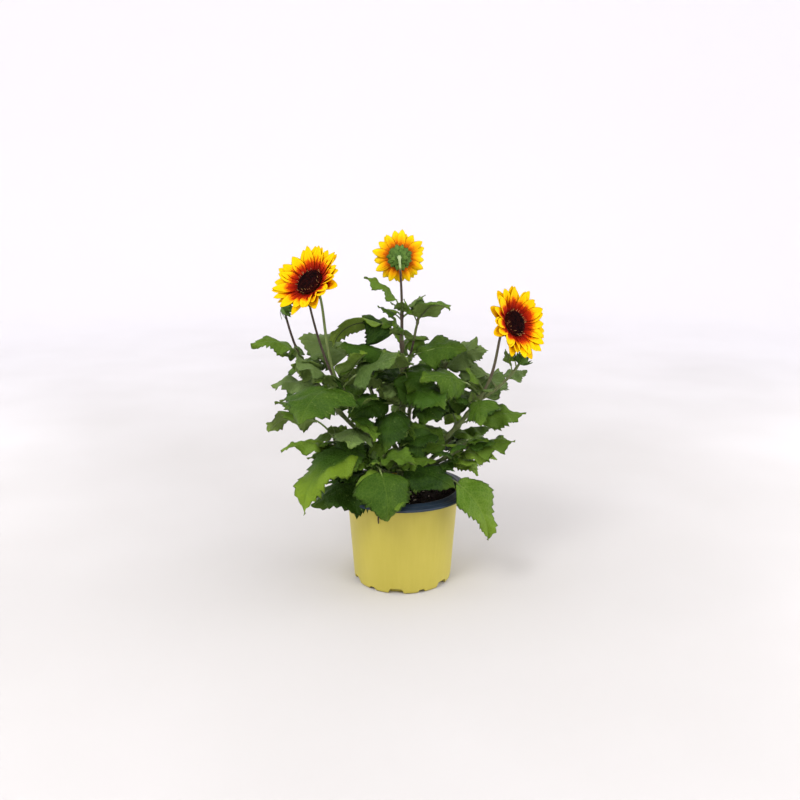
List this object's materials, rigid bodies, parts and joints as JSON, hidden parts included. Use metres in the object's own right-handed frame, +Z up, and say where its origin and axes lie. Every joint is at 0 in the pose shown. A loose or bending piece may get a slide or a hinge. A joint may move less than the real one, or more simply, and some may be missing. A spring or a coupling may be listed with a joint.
{
  "type": "potted sunflower plant",
  "caption": "Bushy sunflower plant in a round nursery pot, with coarse pointed leaves on side shoots, open yellow and dark red blooms on long stalks, and buds.",
  "frame": {"origin": "centre of the pot's flat underside", "axes": "+Z up; -Y is the plant's front, the side that the picture shows; +X is to its right"},
  "size_m": [0.4058, 0.2895, 0.4977],
  "materials": {
    "pot": "satin, with a dark blue rim",
    "soil": "rough, moist compost",
    "stem": "green, finely ribbed and hairy",
    "stalk": "green to dull purple, hairy",
    "leaves": "matt, veined",
    "calyx": "matt, hairy",
    "rays": "soft sheen, dark red at the base",
    "disc": "granular, nearly black"
  },
  "bodies": {
    "root": {"bough_back": "stem", "bough_back_left": "stem", "bough_back_low": "stem", "bough_back_right": "stem", "bough_front": "stem", "bough_front_left": "stem", "bough_front_right": "stem", "bough_left": "stem", "bough_left_back": "stem", "bough_left_low": "stem", "bough_right": "stem", "bough_right_back": "stem", "bough_right_low": "stem", "calyx_centre": "calyx", "calyx_left": "calyx", "calyx_right": "calyx", "disc_centre": "disc", "disc_left": "disc", "disc_right": "disc", "leaves_back": "leaves", "leaves_back_left": "leaves", "leaves_back_low": "leaves", "leaves_back_right": "leaves", "leaves_crown": "leaves", "leaves_front": "leaves", "leaves_front_left": "leaves", "leaves_front_right": "leaves", "leaves_left": "leaves", "leaves_left_back": "leaves", "leaves_left_low": "leaves", "leaves_right": "leaves", "leaves_right_back": "leaves", "leaves_right_low": "leaves", "main_stem": "stem", "pot": "pot", "rays_centre": "rays", "rays_left": "rays", "rays_right": "rays", "soil": "soil", "stalk_centre": "stalk", "stalk_left": "stalk", "stalk_right": "stalk"}
  },
  "joints": []
}
